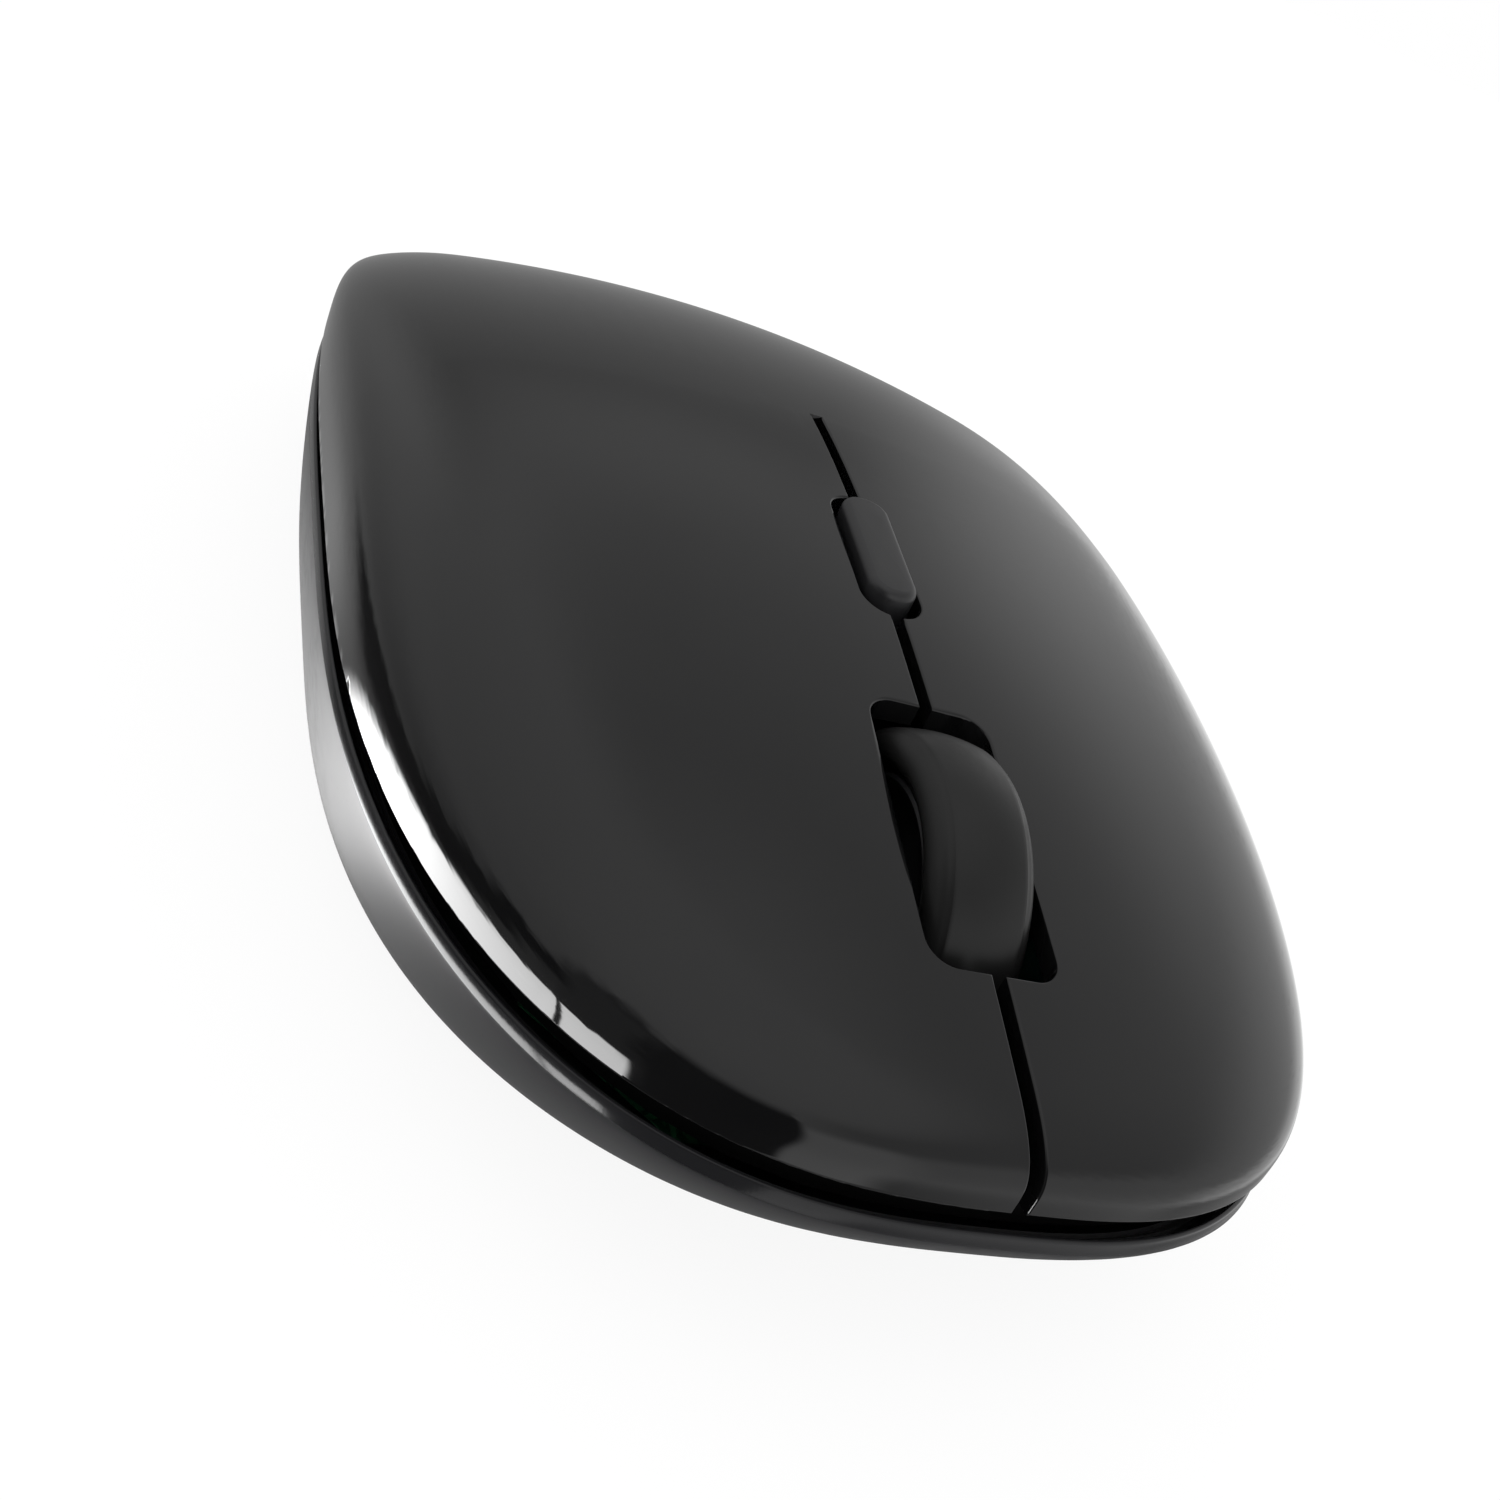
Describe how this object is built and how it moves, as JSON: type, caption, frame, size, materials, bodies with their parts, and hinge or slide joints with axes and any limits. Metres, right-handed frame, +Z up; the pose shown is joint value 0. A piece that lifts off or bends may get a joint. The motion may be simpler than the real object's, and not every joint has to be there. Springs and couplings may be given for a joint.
{
  "type": "computer mouse",
  "caption": "Low wireless optical mouse: one glossy crowned shell whose front flexes as two keys, a scroll wheel, a speed button, a dark groove and a tray-like base.",
  "frame": {"origin": "on the desk, under the centre of the body's outline", "axes": "+Z up; -Y towards the front edge with the keys, +Y towards the palm; +X towards the left key, which is on the user's left because the front faces away from the user"},
  "size_m": [0.0618, 0.106, 0.0248],
  "materials": {
    "gloss_black": "polished black",
    "frame_black": "matt black",
    "base_black": "satin to gloss black",
    "rubber_black": "smooth satin",
    "button_black": "satin",
    "door_black": "fine spark texture",
    "hub_grey": "satin",
    "foot_grey": "waxy low friction film",
    "steel": "bright",
    "spring_steel": "nickel plated",
    "board_green": "solder mask",
    "chip_black": "moulded epoxy",
    "switch_black": "moulded",
    "plunger_white": "acetal",
    "encoder_green": "moulded",
    "clear_lens": "clear polycarbonate",
    "cell_wrap": "shrink sleeve",
    "sleeve_navy": "shrink sleeve",
    "lead_red": "insulation",
    "lead_black": "insulation"
  },
  "bodies": {
    "casing": {"palm_cover": "gloss_black", "mid_frame": "frame_black", "base_shell": "base_black", "front_foot_left": "foot_grey", "front_foot_right": "foot_grey", "rear_foot_left": "foot_grey", "rear_foot_right": "foot_grey", "front_screw_left": "steel", "front_screw_right": "steel", "rear_screw_left": "steel", "rear_screw_right": "steel", "board_screw_left": "steel", "board_screw_right": "steel", "encoder": "encoder_green", "dpi_switch": "switch_black", "left_switch": "switch_black", "right_switch": "switch_black", "middle_switch": "switch_black", "power_switch": "switch_black", "main_board": "board_green", "sensor_ic": "chip_black", "sensor_lens": "clear_lens", "mcu_ic": "chip_black", "crystal": "steel", "capacitor": "sleeve_navy", "battery_cell": "cell_wrap", "plate_contact": "spring_steel", "spring_contact": "spring_steel", "plus_lead": "lead_red", "minus_lead": "lead_black"},
    "left_key": {"left_key": "gloss_black"},
    "right_key": {"right_key": "gloss_black"},
    "left_plunger": {"left_plunger": "plunger_white"},
    "right_plunger": {"right_plunger": "plunger_white"},
    "wheel_cradle": {"axle_cradle": "plunger_white"},
    "wheel": {"wheel_tyre": "rubber_black", "wheel_hub": "hub_grey", "wheel_axle": "steel"},
    "middle_plunger": {"middle_plunger": "plunger_white"},
    "dpi_button": {"dpi_button": "button_black"},
    "dpi_plunger": {"dpi_plunger": "plunger_white"},
    "power_knob": {"power_knob": "plunger_white"},
    "battery_door": {"battery_door": "door_black"}
  },
  "joints": [
    {"name": "left_key_press", "type": "hinge", "parent": "casing", "child": "left_key", "pos_m": [0.015, 0.0065, 0.02465], "axis": [1, 0, 0], "range_deg": [0, 0.6], "stiffness_Nm_per_rad": 2, "springref_deg": -0.11},
    {"name": "right_key_press", "type": "hinge", "parent": "casing", "child": "right_key", "pos_m": [-0.015, 0.0065, 0.02465], "axis": [1, 0, 0], "range_deg": [0, 0.6], "stiffness_Nm_per_rad": 2, "springref_deg": -0.11},
    {"name": "left_plunger_press", "type": "slide", "parent": "casing", "child": "left_plunger", "axis": [0, 0, -1], "range_m": [0, 0.00047]},
    {"name": "right_plunger_press", "type": "slide", "parent": "casing", "child": "right_plunger", "axis": [0, 0, -1], "range_m": [0, 0.00047]},
    {"name": "wheel_click", "type": "hinge", "parent": "casing", "child": "wheel_cradle", "pos_m": [0.0092, -0.032, 0.01246], "axis": [0, -1, 0], "range_deg": [0, 1.5], "stiffness_Nm_per_rad": 0.25, "springref_deg": -0.57},
    {"name": "wheel_spin", "type": "hinge", "parent": "wheel_cradle", "child": "wheel", "pos_m": [0, -0.032, 0.01246], "axis": [1, 0, 0], "continuous": true},
    {"name": "middle_plunger_press", "type": "slide", "parent": "casing", "child": "middle_plunger", "axis": [0, 0, -1], "range_m": [0, 0.0005]},
    {"name": "dpi_press", "type": "slide", "parent": "casing", "child": "dpi_button", "axis": [0, 0, -1], "range_m": [0, 0.0004], "stiffness_N_per_m": 300, "springref_m": -0.0001},
    {"name": "dpi_plunger_press", "type": "slide", "parent": "casing", "child": "dpi_plunger", "axis": [0, 0, -1], "range_m": [0, 0.00041]},
    {"name": "power_slide", "type": "slide", "parent": "casing", "child": "power_knob", "axis": [0, 1, 0], "range_m": [0, 0.0025]},
    {"name": "door_hinge", "type": "hinge", "parent": "casing", "child": "battery_door", "pos_m": [0, 0.04675, 0.00125], "axis": [1, 0, 0], "range_deg": [0, 95]}
  ],
  "couplings": [
    {"joint": "left_plunger_press", "follows": "left_key_press", "m_per_rad": 0.044},
    {"joint": "right_plunger_press", "follows": "right_key_press", "m_per_rad": 0.044},
    {"joint": "middle_plunger_press", "follows": "wheel_click", "m_per_rad": 0.0188},
    {"joint": "dpi_plunger_press", "follows": "dpi_press", "ratio": 1}
  ]
}
